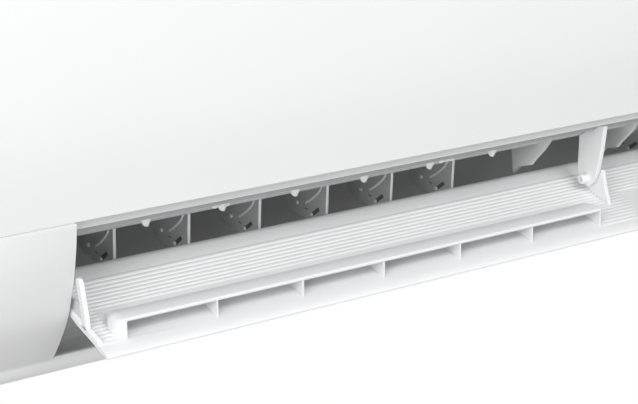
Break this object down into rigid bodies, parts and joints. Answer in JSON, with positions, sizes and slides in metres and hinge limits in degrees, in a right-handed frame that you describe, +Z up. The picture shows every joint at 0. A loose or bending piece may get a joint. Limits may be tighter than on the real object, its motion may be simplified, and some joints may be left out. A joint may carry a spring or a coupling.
{
  "type": "mini split indoor unit",
  "caption": "Wall mounted indoor air unit with an open ribbed outlet flap, turning vanes, a hinged front panel, filters, coil and crossflow fan.",
  "frame": {"origin": "centre of the wall plate's back face, at the unit's mid length and mid height", "axes": "+X to the viewer's right along the unit, +Y into the wall, +Z up"},
  "size_m": [0.837, 0.2056, 0.3],
  "materials": {
    "casing": "smooth satin white moulded plastic",
    "panel": "smooth white moulded plastic",
    "flap_white": "white moulded plastic, finely ribbed",
    "vane_grey": "grey moulded plastic",
    "inner_grey": "grey moulded plastic",
    "white_small": "white moulded acetal",
    "zinc": "zinc plated sheet steel",
    "fins": "thin aluminium sheet",
    "copper": "drawn copper tube",
    "brass": "turned brass",
    "fan_dark": "dark moulded plastic",
    "steel": "turned steel",
    "rubber": "moulded rubber",
    "motor": "painted steel shell",
    "board": "green circuit board",
    "net": "fine woven plastic net in a moulded frame",
    "cream": "cream moulded plastic"
  },
  "bodies": {
    "base": {"mounting_plate": "zinc", "rear_base": "inner_grey", "front_casing": "casing", "coil_fins_lower": "fins", "coil_fins_front": "fins", "coil_fins_rear": "fins", "coil_tubes": "copper", "coil_end_plates": "zinc", "liquid_pipe": "copper", "gas_pipe": "copper", "flare_nuts": "brass", "fan_bearing": "rubber", "bearing_holder": "white_small", "fan_motor": "motor", "motor_clamp": "zinc", "drain_pan": "inner_grey", "drain_spigot": "white_small", "hinge_arm": "white_small", "hinge_pin": "white_small", "flap_motor": "steel", "control_box": "white_small", "control_box_cover": "zinc", "control_board": "board", "terminal_block": "cream", "cable_clamp": "white_small", "display_board": "board", "room_sensor": "rubber", "casing_screws": "steel", "screw_caps": "casing"},
    "flap": {"flap": "flap_white", "flap_coupler": "white_small"},
    "panel": {"front_panel": "panel", "panel_hinge_pins": "steel"},
    "filter_l": {"filter_left": "net"},
    "filter_r": {"filter_right": "net"},
    "fan": {"fan_rotor": "fan_dark", "fan_shaft": "steel"},
    "button": {"emergency_button": "white_small"},
    "bar_l": {"link_bar_left": "inner_grey"},
    "bar_r": {"link_bar_right": "inner_grey"},
    "vane_left_1_body": {"vane_left_1": "vane_grey"},
    "vane_left_2_body": {"vane_left_2": "vane_grey"},
    "vane_left_3_body": {"vane_left_3": "vane_grey"},
    "vane_left_4_body": {"vane_left_4": "vane_grey"},
    "vane_left_5_body": {"vane_left_5": "vane_grey"},
    "vane_left_6_body": {"vane_left_6": "vane_grey"},
    "vane_right_1_body": {"vane_right_1": "vane_grey"},
    "vane_right_2_body": {"vane_right_2": "vane_grey"},
    "vane_right_3_body": {"vane_right_3": "vane_grey"},
    "vane_right_4_body": {"vane_right_4": "vane_grey"},
    "vane_right_5_body": {"vane_right_5": "vane_grey"},
    "vane_right_6_body": {"vane_right_6": "vane_grey"}
  },
  "joints": [
    {"name": "flap_hinge", "type": "hinge", "parent": "base", "child": "flap", "pos_m": [0, -0.16302, -0.09555], "axis": [1, 0, 0], "range_deg": [-85.5, 6]},
    {"name": "panel_hinge", "type": "hinge", "parent": "base", "child": "panel", "pos_m": [0, -0.1558, 0.132], "axis": [-1, 0, 0], "range_deg": [0, 50]},
    {"name": "filter_left_slide", "type": "slide", "parent": "base", "child": "filter_l", "axis": [0, 0.1681, 0.9858], "range_m": [0, 0.205]},
    {"name": "filter_right_slide", "type": "slide", "parent": "base", "child": "filter_r", "axis": [0, 0.1681, 0.9858], "range_m": [0, 0.205]},
    {"name": "fan_spin", "type": "hinge", "parent": "base", "child": "fan", "pos_m": [0, -0.08797, -0.012], "axis": [1, 0, 0], "continuous": true},
    {"name": "button_press", "type": "slide", "parent": "base", "child": "button", "axis": [0, 1, 0], "range_m": [0, 0.0015], "stiffness_N_per_m": 200, "springref_m": -0.001},
    {"name": "bar_left_slide", "type": "slide", "parent": "base", "child": "bar_l", "axis": [1, 0, 0], "range_m": [-0.00757, 0.00757]},
    {"name": "vane_left_1_turn", "type": "hinge", "parent": "base", "child": "vane_left_1_body", "pos_m": [-0.29, -0.12806, -0.09], "axis": [0, 0, 1], "range_deg": [-28, 28]},
    {"name": "vane_left_2_turn", "type": "hinge", "parent": "base", "child": "vane_left_2_body", "pos_m": [-0.247, -0.12806, -0.09], "axis": [0, 0, 1], "range_deg": [-28, 28]},
    {"name": "vane_left_3_turn", "type": "hinge", "parent": "base", "child": "vane_left_3_body", "pos_m": [-0.204, -0.12806, -0.09], "axis": [0, 0, 1], "range_deg": [-28, 28]},
    {"name": "vane_left_4_turn", "type": "hinge", "parent": "base", "child": "vane_left_4_body", "pos_m": [-0.161, -0.12806, -0.09], "axis": [0, 0, 1], "range_deg": [-28, 28]},
    {"name": "vane_left_5_turn", "type": "hinge", "parent": "base", "child": "vane_left_5_body", "pos_m": [-0.118, -0.12806, -0.09], "axis": [0, 0, 1], "range_deg": [-28, 28]},
    {"name": "vane_left_6_turn", "type": "hinge", "parent": "base", "child": "vane_left_6_body", "pos_m": [-0.075, -0.12806, -0.09], "axis": [0, 0, 1], "range_deg": [-28, 28]},
    {"name": "bar_right_slide", "type": "slide", "parent": "base", "child": "bar_r", "axis": [1, 0, 0], "range_m": [-0.00757, 0.00757]},
    {"name": "vane_right_1_turn", "type": "hinge", "parent": "base", "child": "vane_right_1_body", "pos_m": [0.29, -0.12806, -0.09], "axis": [0, 0, 1], "range_deg": [-28, 28]},
    {"name": "vane_right_2_turn", "type": "hinge", "parent": "base", "child": "vane_right_2_body", "pos_m": [0.247, -0.12806, -0.09], "axis": [0, 0, 1], "range_deg": [-28, 28]},
    {"name": "vane_right_3_turn", "type": "hinge", "parent": "base", "child": "vane_right_3_body", "pos_m": [0.204, -0.12806, -0.09], "axis": [0, 0, 1], "range_deg": [-28, 28]},
    {"name": "vane_right_4_turn", "type": "hinge", "parent": "base", "child": "vane_right_4_body", "pos_m": [0.161, -0.12806, -0.09], "axis": [0, 0, 1], "range_deg": [-28, 28]},
    {"name": "vane_right_5_turn", "type": "hinge", "parent": "base", "child": "vane_right_5_body", "pos_m": [0.118, -0.12806, -0.09], "axis": [0, 0, 1], "range_deg": [-28, 28]},
    {"name": "vane_right_6_turn", "type": "hinge", "parent": "base", "child": "vane_right_6_body", "pos_m": [0.075, -0.12806, -0.09], "axis": [0, 0, 1], "range_deg": [-28, 28]}
  ],
  "couplings": [
    {"joint": "vane_left_1_turn", "follows": "bar_left_slide", "rad_per_m": 64.516},
    {"joint": "vane_left_2_turn", "follows": "bar_left_slide", "rad_per_m": 64.516},
    {"joint": "vane_left_3_turn", "follows": "bar_left_slide", "rad_per_m": 64.516},
    {"joint": "vane_left_4_turn", "follows": "bar_left_slide", "rad_per_m": 64.516},
    {"joint": "vane_left_5_turn", "follows": "bar_left_slide", "rad_per_m": 64.516},
    {"joint": "vane_left_6_turn", "follows": "bar_left_slide", "rad_per_m": 64.516},
    {"joint": "vane_right_1_turn", "follows": "bar_right_slide", "rad_per_m": 64.516},
    {"joint": "vane_right_2_turn", "follows": "bar_right_slide", "rad_per_m": 64.516},
    {"joint": "vane_right_3_turn", "follows": "bar_right_slide", "rad_per_m": 64.516},
    {"joint": "vane_right_4_turn", "follows": "bar_right_slide", "rad_per_m": 64.516},
    {"joint": "vane_right_5_turn", "follows": "bar_right_slide", "rad_per_m": 64.516},
    {"joint": "vane_right_6_turn", "follows": "bar_right_slide", "rad_per_m": 64.516}
  ]
}
